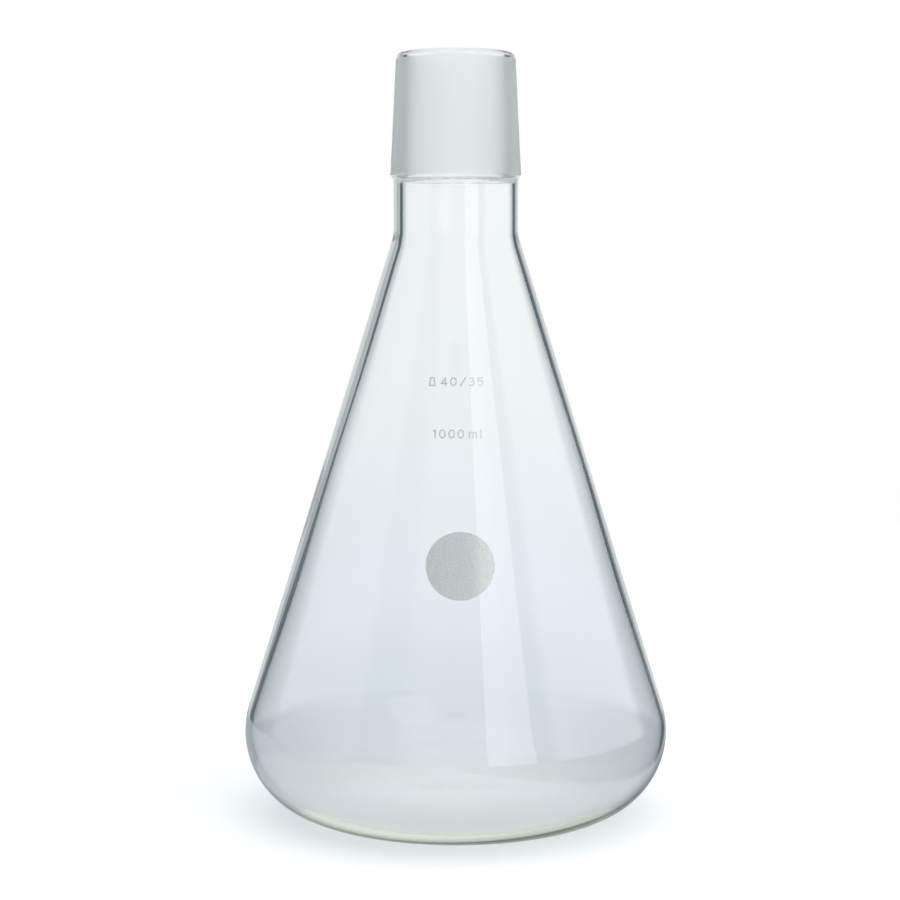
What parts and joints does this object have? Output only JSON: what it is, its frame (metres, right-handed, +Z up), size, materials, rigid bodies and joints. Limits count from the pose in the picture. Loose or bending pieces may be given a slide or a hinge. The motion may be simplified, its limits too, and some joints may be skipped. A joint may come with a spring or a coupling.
{
  "type": "erlenmeyer flask",
  "caption": "Clear borosilicate conical flask with a flat base, straight cone, short neck and an outer ground standard-taper joint, with enamel marks on the front.",
  "frame": {"origin": "on the table, at the middle of the base's contact ring", "axes": "+Z up along the flask's axis of rotation; -Y faces the enamel marks; +X to the viewer's right"},
  "size_m": [0.131, 0.131, 0.234],
  "materials": {
    "clear_glass": "clear, fire-polished borosilicate",
    "ground_glass": "finely ground, white and matte",
    "enamel": "fired white enamel, matte and finely speckled"
  },
  "bodies": {
    "root": {"flask_body": "clear_glass", "ground_joint": "ground_glass", "marking_spot": "enamel", "joint_taper_sign": "enamel", "joint_diameter_4": "enamel", "joint_diameter_0": "enamel", "joint_slash": "enamel", "joint_length_3": "enamel", "joint_length_5": "enamel", "capacity_1": "enamel", "capacity_first_0": "enamel", "capacity_second_0": "enamel", "capacity_third_0": "enamel", "capacity_m": "enamel", "capacity_l": "enamel"}
  },
  "joints": []
}
